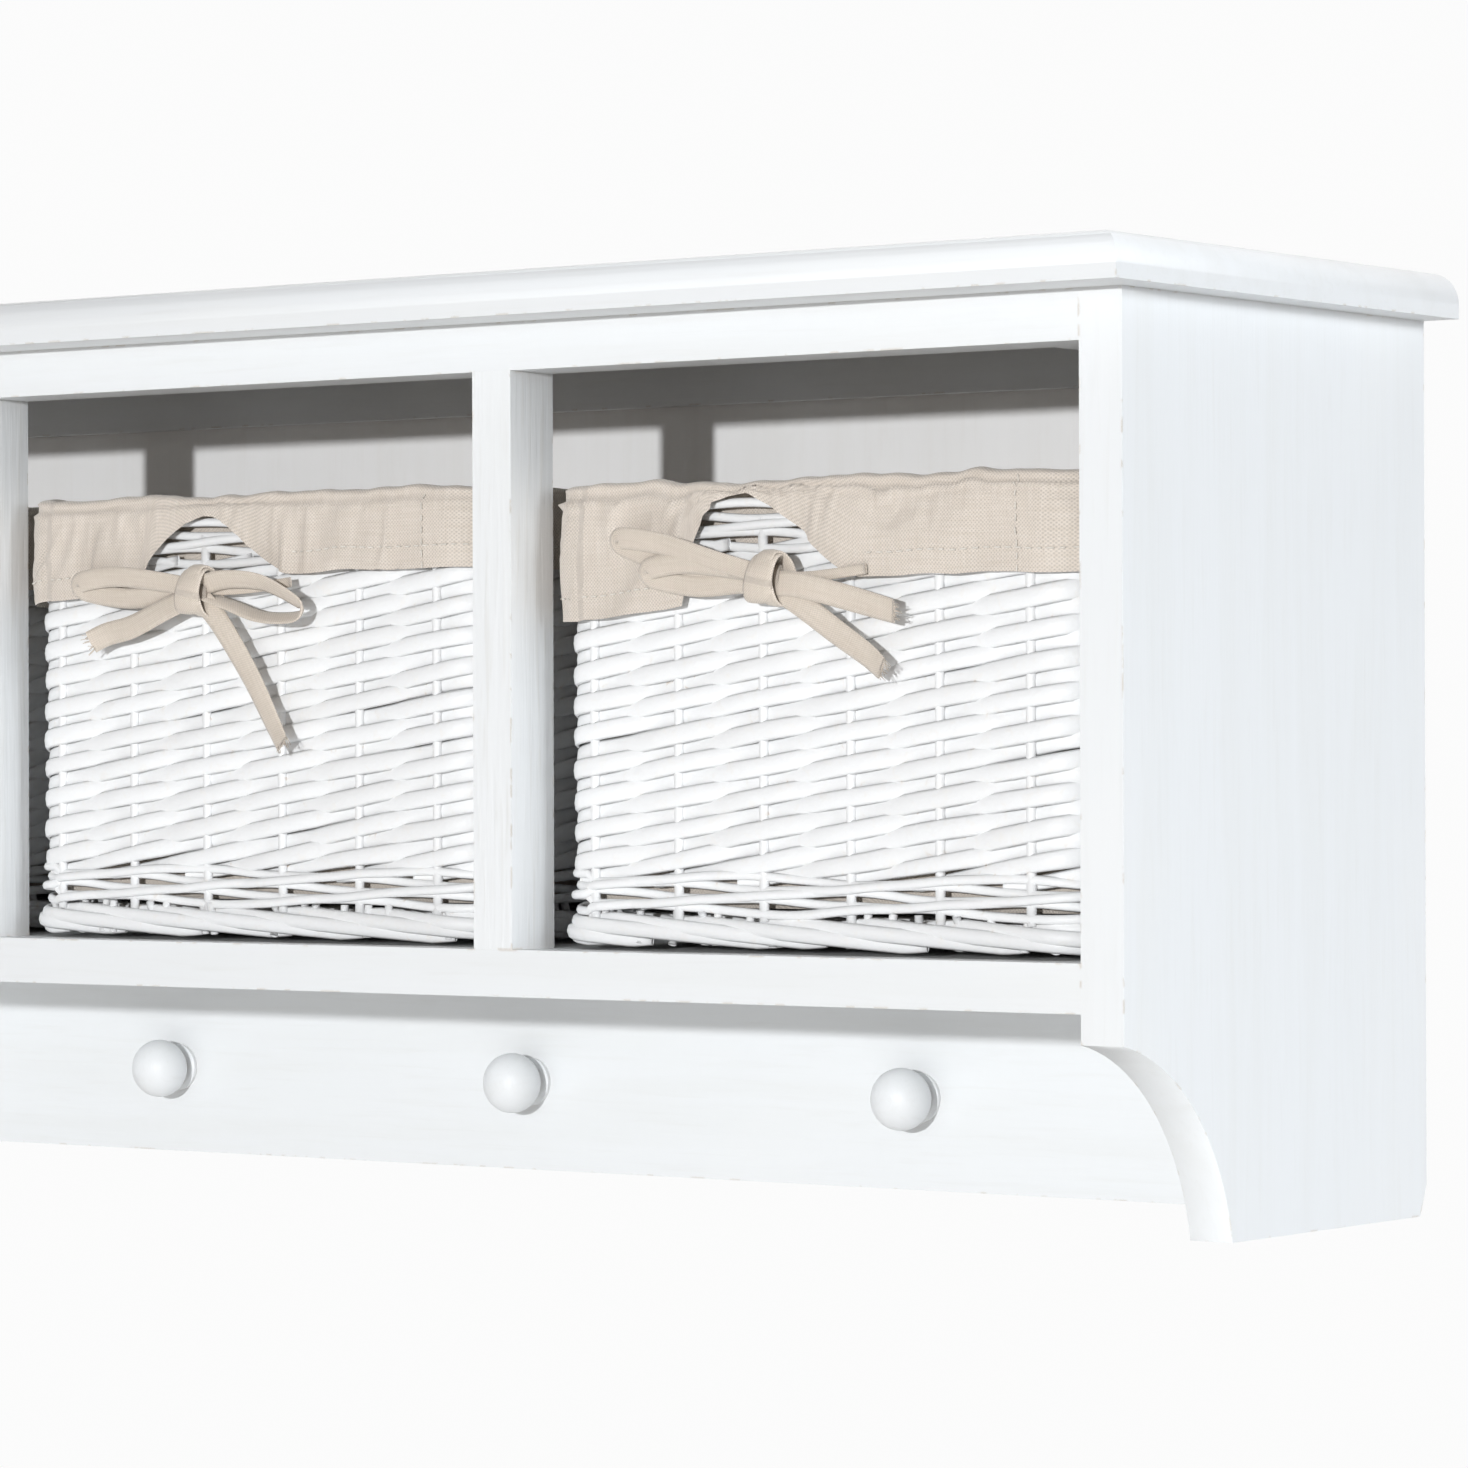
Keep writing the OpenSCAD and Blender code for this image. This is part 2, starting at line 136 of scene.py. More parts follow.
# %% Shader values and finishes
class Value:
    """A number or a vector that flows through a finish."""

    def __init__(self, finish, socket):
        self.finish = finish
        self.socket = socket

    def math(self, operation, *others):
        return self.finish.add("ShaderNodeMath", [self, *others], operation=operation)

    def __add__(self, other):
        return self.math("ADD", other)

    def __sub__(self, other):
        return self.math("SUBTRACT", other)

    def __rsub__(self, other):
        return self.finish.add("ShaderNodeMath", [other, self], operation="SUBTRACT")

    def __mul__(self, other):
        return self.math("MULTIPLY", other)

    __radd__ = __add__
    __rmul__ = __mul__

    def step(self, low, high):
        """0 below low, 1 above high and smooth between."""
        return self.finish.add("ShaderNodeMapRange", [self, low, high], interpolation_type="SMOOTHSTEP")


class Finish:
    """One material, written as expressions that end in the surface's own sockets."""

    def __init__(self, name, roughness=0.5, sheen=0.0):
        self.material = bpy.data.materials.new(name)
        self.material.use_nodes = True
        self.tree = self.material.node_tree
        self.surface = self.tree.nodes["Principled BSDF"]
        self.surface.inputs["Roughness"].default_value = roughness
        self.surface.inputs["Sheen Weight"].default_value = sheen

    def put(self, socket, value):
        if isinstance(value, Value):
            self.tree.links.new(value.socket, socket)
        elif isinstance(value, (tuple, list)) and len(value) == 3 and socket.type == "RGBA":
            socket.default_value = (*value, 1)
        else:
            socket.default_value = value

    def add(self, kind, values=(), out=0, **settings):
        """Adds a node; values go to its inputs in order, or by name when given as a dictionary."""
        node = self.tree.nodes.new(kind)
        for key, setting in settings.items():
            setattr(node, key, setting)
        pairs = values.items() if isinstance(values, dict) else enumerate(values)
        for key, value in pairs:
            self.put(node.inputs[key], value)
        return Value(self, node.outputs[out])

    def place(self, scale=(1, 1, 1)):
        """The point being shaded, in the object's own metres, stretched by scale."""
        point = self.add("ShaderNodeTexCoord", out="Object")
        return self.add("ShaderNodeVectorMath", [point, scale], operation="MULTIPLY")

    def split(self, vector, axis):
        return self.add("ShaderNodeSeparateXYZ", [vector], out=axis)

    def noise(self, point, scale, detail=3.0, roughness=0.5, distortion=0.0):
        values = {"Vector": point, "Scale": scale, "Detail": detail, "Roughness": roughness,
                  "Distortion": distortion}
        return self.add("ShaderNodeTexNoise", values, out="Fac")

    def mix(self, amount, first, second):
        node = self.tree.nodes.new("ShaderNodeMix")
        node.data_type = "RGBA"
        for key, value in ((0, amount), (6, first), (7, second)):
            self.put(node.inputs[key], value)
        return Value(self, node.outputs[2])

    def crevice(self, reach):
        """1 deep in a gap and 0 in the open."""
        return 1 - self.add("ShaderNodeAmbientOcclusion", {"Distance": reach}, out="AO", samples=4)

    def edge(self, width):
        """Rises on sharp outer edges and corners, where paint wears first."""
        soft = self.add("ShaderNodeBevel", {"Radius": width}, samples=4)
        true = self.add("ShaderNodeNewGeometry", out="Normal")
        return 1 - self.add("ShaderNodeVectorMath", [soft, true], out="Value", operation="DOT_PRODUCT")

    def finish(self, colour, bump=None, height=0.001, strength=0.5, roughness=None):
        self.put(self.surface.inputs["Base Color"], colour)
        if roughness is not None:
            self.put(self.surface.inputs["Roughness"], roughness)
        if bump is not None:
            values = {"Strength": strength, "Distance": height, "Height": bump}
            self.put(self.surface.inputs["Normal"], self.add("ShaderNodeBump", values))
        return self.material


print("finish language ready")

# %% [markdown]
# ## White paint on pine
#
# Satin paint lies thick enough to hide the wood's colour but not its grain. The harder growth
# lines stand up a little, so they show as long faint ridges, with a few slow cathedral swirls.
# Paint is thinner on the sharp edges, and a few small knocks there show a warm grey.

# %% Painted boards
def shaded(tint, share):
    return tuple(c * f for c, f in zip(tint, share))


def painted_board(name, along, tint=(0.775, 0.797, 0.810), wear=1.0, depth=0.012,
                  shade=0.35, rough=1.0):
    """White paint; along is the axis (0, 1 or 2) that the grain follows."""
    paint = Finish(name, roughness=0.42)
    squeeze = [22.0, 22.0, 22.0]
    squeeze[along] = 1.3
    across = paint.place(tuple(squeeze))
    swirl = paint.noise(across, 2.6, detail=3.0, distortion=0.8)
    fibres = paint.noise(paint.place(tuple(s * 4 for s in squeeze)), 5.0, detail=3.0, distortion=0.4)
    strokes = paint.noise(paint.place(tuple(s * 13 for s in squeeze)), 3.0, detail=1.0)
    growth = swirl * 0.35 + fibres * 0.45 + strokes * 0.2
    mottle = paint.noise(paint.place(), 9.0, detail=4.0)
    base = paint.mix(swirl.step(0.4, 0.75) * 0.5, tint, shaded(tint, (0.95, 0.945, 0.93)))
    base = paint.mix(fibres.step(0.5, 0.8) * (0.35 * rough), base, shaded(tint, (0.93, 0.92, 0.90)))
    base = paint.mix(mottle.step(0.5, 0.8) * 0.2, base, (0.85, 0.845, 0.825))
    knocks = paint.noise(paint.place(), 160.0, detail=2.0).step(0.56, 0.66)
    worn = paint.edge(0.0016).step(0.04, 0.22) * knocks * wear
    base = paint.mix(worn * 0.75, base, (0.50, 0.42, 0.33))
    # Hollows, inside corners and spots under other parts, within depth, are darkened to a warm grey-brown:
    # painted shade.
    base = paint.mix(paint.crevice(depth).step(0.30, 0.95) * shade, base, (0.50, 0.42, 0.36))
    height = growth + mottle * 0.2 - worn * 1.2
    return paint.finish(base, bump=height, height=0.0005 * rough, strength=0.28,
                        roughness=0.36 + swirl * 0.16)


# The back panel gets a much lighter copy of the same white paint than the boards, posts and knobs: painted
# light for the inside of the cubbies.
PAINT_ALONG = [painted_board("paint_grain_" + "xyz"[axis], axis) for axis in range(3)]
PAINT_POST = painted_board("paint_rough_post", 2, tint=(0.79, 0.81, 0.82), rough=3.0)
PAINT_BACK = painted_board("paint_back_panel", 2, tint=(0.93, 0.93, 0.925), wear=0.0, depth=0.10,
                           shade=0.12)
PAINT_KNOB = painted_board("paint_knob", 1, tint=(0.765, 0.785, 0.80), wear=0.4)
print("paints", [m.name for m in (*PAINT_ALONG, PAINT_POST, PAINT_BACK, PAINT_KNOB)])

# %% [markdown]
# Nothing on a real shelf has a razor edge: every arris was eased with sandpaper and then filled
# with paint. A narrow bevel on each board catches the light along its edges.

# %% Give each board its paint and its eased edges
BOARD_GRAIN = {
    "top_board": 0, "bottom_shelf": 0, "front_top_rail": 0, "back_top_rail": 0, "peg_rail": 0,
    "left_top_batten": 1, "right_top_batten": 1, "left_side_panel": 2, "right_side_panel": 2,
    "left_divider_post": 2, "right_divider_post": 2,
}


def cad_object(node):
    return bpy.data.objects[node]


def ease(obj, width):
    weld = obj.modifiers.new("join_corners", "WELD")
    weld.merge_threshold = 0.00002
    bevel = obj.modifiers.new("eased_edges", "BEVEL")
    bevel.width = width
    bevel.segments = 2
    bevel.limit_method = "ANGLE"
    bevel.angle_limit = math.radians(40)
    bevel.harden_normals = True


def clothe(obj, material):
    if not obj.data.materials:
        obj.data.materials.append(material)
    for spot in obj.material_slots:
        spot.material = material


for node, axis in BOARD_GRAIN.items():
    clothe(cad_object(node), PAINT_ALONG[axis])
    ease(cad_object(node), 0.0009)
clothe(cad_object("back_panel"), PAINT_BACK)
for node in ("left_divider_post", "right_divider_post"):
    clothe(cad_object(node), PAINT_POST)
for node in ("left_peg", "centre_peg", "right_peg"):
    clothe(cad_object(node), PAINT_KNOB)
print("painted", len(BOARD_GRAIN) + 4, "wooden pieces")

# %% [markdown]
# ## Steel and bare beech
#
# The hanger plates and screws are zinc plated: slightly blue, with cloudy spangle. The dowels are
# bare beech, with the short dark flecks of its rays.

# %% Hidden hardware
zinc = Finish("zinc_plate", roughness=0.38)
zinc.surface.inputs["Metallic"].default_value = 1.0
cloud = zinc.noise(zinc.place(), 420.0, detail=5.0)
scratch = zinc.noise(zinc.place((1, 1, 60)), 90.0, detail=2.0)
ZINC = zinc.finish(zinc.mix(cloud.step(0.3, 0.7), (0.50, 0.52, 0.55), (0.68, 0.69, 0.70)),
                   bump=scratch, height=0.0002, strength=0.3, roughness=0.28 + cloud * 0.25)

bare = Finish("bare_beech", roughness=0.6)
fleck = bare.noise(bare.place((30, 1, 1)), 60.0, detail=4.0)
BEECH = bare.finish(bare.mix(fleck.step(0.4, 0.7), (0.62, 0.43, 0.25), (0.46, 0.29, 0.15)),
                    bump=fleck, height=0.0002, strength=0.3)

for spec in frame["record"]["subparts"]:
    if spec["material_slot"] in ("hanger_steel", "screw_steel"):
        clothe(cad_object(spec["node"]), ZINC)
    if spec["material_slot"] == "beech":
        clothe(cad_object(spec["node"]), BEECH)

stone = Finish("studio_floor_paint", roughness=0.6)
speck = stone.noise(stone.place(), 14.0, detail=5.0)
slab_colour = stone.mix(speck, (0.80, 0.80, 0.79), (0.86, 0.86, 0.85))
clothe(floor, stone.finish(slab_colour, bump=speck, height=0.0005))
print("hardware and floor finished")

# %% [markdown]
# ## Weaving the baskets
#
# Each basket is French randing: one rod starts behind every stake, and all of them climb to the
# right together, each passing in front of one stake and behind the next. The climb is one rod's
# height per stake, so neighbouring stakes show their gaps level with each other, and the first
# rods leave little triangular gaps above the waling. A round-cornered outline gives the path.

# %% The outline that the rods follow
class Outline:
    """A rectangle with round corners, walked from its front left corner, seen from above."""

    def __init__(self, centre, width, depth, radius):
        self.centre = centre
        self.radius = radius
        self.half = (width / 2 - radius, depth / 2 - radius)
        arc = math.pi / 2 * radius
        self.runs = []
        walked = 0.0
        for side in range(4):
            straight = 2 * self.half[side % 2]
            self.runs.append((walked, straight, side))
            walked += straight + arc
        self.length = walked

    def at(self, s):
        """The point at distance s along the outline, and the direction straight out from it."""
        s %= self.length
        start, straight, side = [run for run in self.runs if run[0] <= s + 1e-9][-1]
        turn = side * math.pi / 2
        past = s - start - straight
        swing = max(0.0, past) / self.radius
        along = min(s - start, straight) - straight / 2
        corner = Vector((along, -self.half[(side + 1) % 2]))
        out = Vector((math.sin(swing), -math.cos(swing)))
        spot = corner + out * self.radius
        rotate = Matrix.Rotation(turn, 2)
        spot, out = rotate @ spot, rotate @ out
        return Vector((self.centre[0] + spot.x, self.centre[1] + spot.y, 0)), Vector((out.x, out.y, 0))


def basket_outline(side):
    low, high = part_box(f"{side}_basket_wall")
    centre = ((low.x + high.x) / 2, (low.y + high.y) / 2)
    return Outline(centre, high.x - low.x - 6 * MM, high.y - low.y - 6 * MM, 15 * MM)


SHELF_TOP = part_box("bottom_shelf")[1].z
STAKES = 20
print("the outline is", round(basket_outline("middle").length, 4), "m round")

# %% [markdown]
# A rod is swept along its path as a flattened tube. Willow is never even, so every rod swells and
# thins a little along its length and wanders by half a millimetre.

# %% Sweep rods into one mesh
def lay_threads(mesh, marks):
    """Stores how far along and across the material each point lies, in metres."""
    sheet = mesh.uv_layers.new(name="threads")
    for loop in mesh.loops:
        sheet.data[loop.index].uv = marks[loop.vertex_index]


class Bundle:
    """Collects many rods or ribbons and makes one object of them."""

    def __init__(self, name):
        self.name = name
        self.points = []
        self.faces = []
        self.marks = []

    def sweep(self, path, outs, half_thick, half_high, sides=8, closed=False, taper=0.0):
        """path and outs are lists of vectors; the flat of the rod faces along outs."""
        count = len(path)
        first = len(self.points)
        run = 0.0
        for i, (spot, out) in enumerate(zip(path, outs)):
            run += (spot - path[max(i - 1, 0)]).length
            ahead = path[(i + 1) % count if closed else min(i + 1, count - 1)]
            behind = path[(i - 1) % count if closed else max(i - 1, 0)]
            forward = (ahead - behind).normalized()
            out = (out - forward * out.dot(forward)).normalized()
            up = forward.cross(out)
            end = min(i, count - 1 - i) / max(1, count * 0.08)
            size = 1.0 if closed else 1.0 - taper * max(0.0, 1.0 - end)
            for k in range(sides):
                a = 2 * math.pi * k / sides
                across = half_high * size * math.sin(a)
                self.points.append(spot + out * (half_thick * size * math.cos(a)) + up * across)
                self.marks.append((run, across))
        rings = count if closed else count - 1
        for i in range(rings):
            here = first + i * sides
            there = first + (i + 1) % count * sides
            for k in range(sides):
                n = (k + 1) % sides
                self.faces.append((here + k, there + k, there + n, here + n))
        if not closed:
            self.faces.append(tuple(range(first + sides - 1, first - 1, -1)))
            last = first + (count - 1) * sides
            self.faces.append(tuple(range(last, last + sides)))

    def build(self, material, body, replaces=()):
        mesh = bpy.data.meshes.new(self.name)
        mesh.from_pydata([tuple(p) for p in self.points], [], self.faces)
        mesh.update(calc_edges=True)
        mesh.polygons.foreach_set("use_smooth", [True] * len(mesh.polygons))
        lay_threads(mesh, self.marks)
        obj = bpy.data.objects.new(self.name, mesh)
        bpy.context.scene.collection.objects.link(obj)
        mesh.materials.append(material)
        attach(obj, body)
        if replaces:
            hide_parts(*replaces)
        return obj


def wander(x, y, seed):
    return noise.noise(Vector((x, y, seed * 3.7)))


def around(outline, start, length, shape, step=3.2 * MM):
    """Walks the outline; shape(s) gives (offset outwards, height). Returns path and outs."""
    count = max(2, int(round(length / step)))
    path, outs = [], []
    for i in range(count):
        s = start + length * i / count
        spot, out = outline.at(s)
        offset, height = shape(s)
        path.append(spot + out * offset + Vector((0, 0, SHELF_TOP + height)))
        outs.append(out)
    return path, outs


print("rods can be swept")

# %% [markdown]
# Paint went on after weaving, so it is thick on the rods' faces and thin where they cross. It pools in a
# dull ridge along each crossing. Deep in the gaps the colour is darkened to a warm grey, which is painted
# shade, and in patches there the paint stops and the tan willow shows. Each rod took the brush a little
# differently.

# %% White paint on willow
willow = Finish("painted_willow", roughness=0.5)
spot = willow.place()
rod_tone = willow.add("ShaderNodeNewGeometry", out="Random Per Island")
brush = willow.noise(spot, 260.0, detail=4.0, distortion=0.5)
lumps = willow.noise(spot, 900.0, detail=2.0)
skin = willow.mix(rod_tone * 0.7, (0.865, 0.88, 0.89), (0.815, 0.825, 0.83))
skin = willow.mix(brush.step(0.52, 0.75) * 0.35, skin, (0.83, 0.81, 0.77))
# Deep gaps are darkened to warm grey: painted shade.
gap = willow.crevice(0.003)
skin = willow.mix(gap.step(0.75, 1.0) * 0.4, skin, (0.70, 0.63, 0.56))
bald = brush.step(0.66, 0.74) * gap.step(0.1, 0.5)
skin = willow.mix(bald * 0.55, skin, (0.50, 0.36, 0.24))
WILLOW = willow.finish(skin, bump=brush * 0.6 + lumps * 0.4, height=0.0006, strength=0.45,
                       roughness=0.40 + brush * 0.25)
print("willow paint ready")

# %% [markdown]
# ### The wall
#
# Twenty rods climb in slanted rounds over twenty upright stakes. A rod leans outwards at one stake
# and inwards at the next, and its swing is clipped so it lies flat as it passes. The stakes are
# pushed in last, each leaning a little.

# %% Weave a wall
RANDING_LOW, RANDING_HIGH = 25.5 * MM, 142 * MM
CLIMB = 0.153


def weave_wall(side, outline, chance, seed):
    gap = outline.length / STAKES
    wall = Bundle(f"{side}_weave")
    for j in range(STAKES):
        fat = chance.uniform(0.96, 1.10)
        lift = chance.uniform(-0.35, 0.35) * MM

        def randing(s, j=j, lift=lift):
            swing = math.cos(math.pi * (s - j * gap) / gap)
            offset = -1.15 * MM * math.copysign(min(1.0, abs(swing) * 1.25), swing)
            offset += wander(s * 60, j, seed) * 0.35 * MM
            height = RANDING_LOW + (s - j * gap) * CLIMB + lift
            height += wander(s * 25, j + 9, seed) * 0.9 * MM
            return offset, max(RANDING_LOW - 1.5 * MM, min(height, RANDING_HIGH))

        path, outs = around(outline, (j - 0.32) * gap, (RANDING_HIGH - RANDING_LOW) / CLIMB, randing)
        wall.sweep(path, outs, 1.15 * MM, 3.35 * MM * fat, taper=0.4)
    for i in range(STAKES):
        lean = chance.uniform(-1.2, 1.2) * MM
        spots = [outline.at(i * gap + lean * t / 6) for t in range(7)]
        path = [p + Vector((0, 0, SHELF_TOP + (11 + 23 * t) * MM)) for t, (p, out) in enumerate(spots)]
        wall.sweep(path, [out for p, out in spots], 1.5 * MM, 1.9 * MM)
    wall.build(WILLOW, f"{side}_basket", [f"{side}_basket_wall"])
    return len(wall.points)


print("each rod climbs", round(CLIMB, 3), "for every unit along")

# %% [markdown]
# ### Waling and rim
#
# Thin rods twist past three stakes at a time. Five rounds of this lock the wall to the foot, and
# five wider-spaced ones make the rim, which the cuff hides.

# %% Twist the thin rounds
WALE_ROD = 1.65
WALING_HEIGHTS = (14.8, 17.4, 20.0, 22.6, 25.2)
RIM_HEIGHTS = (139.4, 142.8, 146.2, 149.6, 152.6)


def wale(bundle, outline, chance, seed, heights, reach, depth):
    gap = outline.length / STAKES
    for k, level in enumerate(heights):
        turn = 2 * math.pi * k / 3 + chance.uniform(-0.2, 0.2)

        def twist(s, turn=turn, level=level, k=k):
            a = 2 * math.pi * s / (gap * 3) - turn
            drift = wander(s * 40, k, seed + 2) * 0.7
            rise = level + (depth + 0.3) * math.sin(a) + drift
            return (reach + depth * math.cos(a)) * MM, rise * MM

        path, outs = around(outline, 0, outline.length, twist)
        bundle.sweep(path, outs, WALE_ROD * 0.85 * MM, WALE_ROD * MM, closed=True)


print("waling from", WALING_HEIGHTS[0], "to", WALING_HEIGHTS[-1], "mm above the shelf")

# %% [markdown]
# ### The rolled foot border
#
# Each stake's end is turned down and laid outside the next three, and the cut ends are pushed up
# among them. The overlapping arcs make the rope-like edge the basket stands on.

# %% Roll a foot border
def roll_border(side, outline, chance):
    gap = outline.length / STAKES
    foot = Bundle(f"{side}_foot_border")
    for i in range(STAKES):
        reach = chance.uniform(2.7, 3.3) * gap
        dip = chance.uniform(-0.5, 0.5)

        def border(s, i=i, reach=reach, dip=dip):
            t = (s - i * gap) / reach
            return (-1.5 + 4.3 * math.sin(math.pi * t)) * MM, (11.0 + dip - 7.9 * t) * MM

        path, outs = around(outline, i * gap, reach, border)
        foot.sweep(path, outs, 1.8 * MM, 2.7 * MM, taper=0.5)
    for i in range(STAKES * 3):
        spot, out = outline.at((i + chance.uniform(0.1, 0.9)) * gap / 3)
        level = Vector((0, 0, SHELF_TOP))
        stub = []
        for z in (2.4, 8, 14):
            stub.append(spot + out * chance.uniform(-2.5, 1.2) * MM + level + Vector((0, 0, z * MM)))
        foot.sweep(stub, [out] * 3, 1.3 * MM, 1.6 * MM)
    foot.build(WILLOW, f"{side}_basket", [f"{side}_basket_foot_border"])
    return len(foot.points)


print("borders can be rolled")

# %% [markdown]
# ### The base
#
# Six thick sticks run from front to back, and thinner rods weave over and under them.

# %% Weave a base
BASE_STICKS = 6
BASE_ROW = 4.6 * MM


def weave_base(side, seed):
    low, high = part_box(f"{side}_basket_base")
    width, depth = high.x - low.x, high.y - low.y
    base = Bundle(f"{side}_bottom_weave")
    level = SHELF_TOP + 9.5 * MM
    up = Vector((0, 0, 1))
    sticks = [low.x + width * (k + 0.5) / BASE_STICKS for k in range(BASE_STICKS)]
    for x in sticks:
        line = [Vector((x, low.y + t / 5 * depth, level)) for t in range(6)]
        base.sweep(line, [up] * 6, 1.6 * MM, 2.6 * MM)
    for row in range(int(depth / BASE_ROW)):
        y = low.y + (row + 0.5) * BASE_ROW
        line = []
        for t in range(61):
            x = low.x + width * t / 60
            wave = math.cos(math.pi * (x - sticks[0]) / (sticks[1] - sticks[0]) + math.pi * row)
            line.append(Vector((x, y + wander(x * 40, row, seed) * 0.8 * MM, level + wave * 1.9 * MM)))
        base.sweep(line, [up] * 61, 1.3 * MM, 2.1 * MM)
    base.build(WILLOW, f"{side}_basket", [f"{side}_basket_base"])
    return len(base.points)


print("bases can be woven")

# %% [markdown]
# Each basket draws from its own seeded source of chance, from the wall down to the foot and then
# the rim, so the three differ but come out the same every time.

# %% Weave the three baskets
def weave_basket(side, seed):
    chance = random.Random(seed)
    outline = basket_outline(side)
    points = weave_wall(side, outline, chance, seed)
    waling = Bundle(f"{side}_lower_waling")
    wale(waling, outline, chance, seed, WALING_HEIGHTS, 0.7, 1.15)
    waling.build(WILLOW, f"{side}_basket")
    roll_border(side, outline, chance)
    rim = Bundle(f"{side}_rim")
    wale(rim, outline, chance, seed, RIM_HEIGHTS, 0.5, 1.1)
    rim.build(WILLOW, f"{side}_basket", [f"{side}_basket_rim"])
    weave_base(side, seed)
    return points


for number, side in enumerate(SIDES):
    print(side, "basket woven with", weave_basket(side, 11 + number * 7), "wall points")

# %% [markdown]
# ## Linen
#
# The liner is a plain weave of uneven oatmeal yarn: warp and weft cross about every millimetre,
# and thick slubs run along single threads in both directions. Light that grazes it catches the
# loose fibres, which the sheen stands for. The ribbon is the same cloth, folded and pressed.

# %% Linen finish
def linen(name, tint, pitch=0.0013):
    cloth = Finish(name, roughness=0.85, sheen=0.25)
    threads = cloth.add("ShaderNodeTexCoord", out="UV")
    along, across = cloth.split(threads, 0), cloth.split(threads, 1)
    waver = cloth.noise(threads, 45.0, detail=2.0) * 0.9
    warp = (along * (2 * math.pi / pitch) + waver).math("SINE")
    weft = (across * (2 * math.pi / pitch) + waver).math("SINE")
    weave = warp * weft * 0.5 + 0.5

    def stretched(scale):
        return cloth.add("ShaderNodeVectorMath", [threads, scale], operation="MULTIPLY")

    slub_up = cloth.noise(stretched((1.0, 0.04, 1)), 1500.0, detail=2.0)
    slub_on = cloth.noise(stretched((0.04, 1.0, 1)), 1500.0, detail=2.0)
    slubs = slub_up * 0.5 + slub_on * 0.5
    cloudy = cloth.noise(threads, 30.0, detail=3.0)
    colour = cloth.mix(slubs.step(0.35, 0.65), shaded(tint, (0.89, 0.875, 0.85)), tint)
    colour = cloth.mix(weave.step(0.05, 0.7) * 0.6 + 0.4, tuple(c * 0.55 for c in tint), colour)
    colour = cloth.mix(cloudy.step(0.45, 0.8) * 0.25, colour, tuple(min(1.0, c * 1.08) for c in tint))
    # Folds of the cloth, and places where other parts sit close, are darkened: painted shade.
    colour = cloth.mix(cloth.crevice(0.004).step(0.3, 1.0) * 0.5, colour, tuple(c * 0.45 for c in tint))
    return cloth.finish(colour, bump=weave * 0.6 + slubs * 0.9, height=0.0004, strength=0.55)


LINEN = linen("oatmeal_linen", (0.735, 0.668, 0.597))
TAPE = linen("linen_tape", (0.72, 0.645, 0.56), pitch=0.0009)
THREAD = linen("stitching_thread", (0.92, 0.88, 0.81), pitch=0.0004)
print("linen ready")

# %% [markdown]
# ## The sewn liners
#
# Each liner is one bag: it stands in the basket, folds over the rim and hangs down outside as a
# cuff. The cuff's hem is a channel for the ribbon, and in front it is cut away in an arch, steep
# on the left and slanting on the right. No two are pulled down by the same amount.

# %% Cut the liners
LINERS = {
    "left": {"hem": (121, 129), "notch": (-44, -14, 24), "crown": 155, "crest": 162.5, "seed": 5},
    "middle": {"hem": (124.5, 134.5), "notch": (-46, -14, 23), "crown": 155, "crest": 163.5, "seed": 6},
    "right": {"hem": (113.5, 126.5), "notch": (-48.5, -26, 24), "crown": 157.5, "crest": 162, "seed": 7},
}
ROUND = 400
CUFF_ROWS, FOLD_ROWS, BAG_ROWS = 18, 7, 14


def ease_in(t):
    t = max(0.0, min(1.0, t))
    return t * t * (3 - 2 * t)


def hem_height(cut, x, in_front):
    """Height of the cuff's lower edge in millimetres above the shelf."""
    left, right = cut["hem"]
    hem = left + (right - left) * ease_in((x + 112) / 150)
    if not in_front:
        return hem
    low, top, high = cut["notch"]
    if low < x <= top:
        return hem + (cut["crown"] - hem) * (1 - ((top - x) / (top - low)) ** 2) ** 0.5
    if top < x < high:
        t = (x - top) / (high - top)
        return hem + (cut["crown"] - hem) * (1 - ease_in(t) * 0.5 - t * 0.5)
    return hem


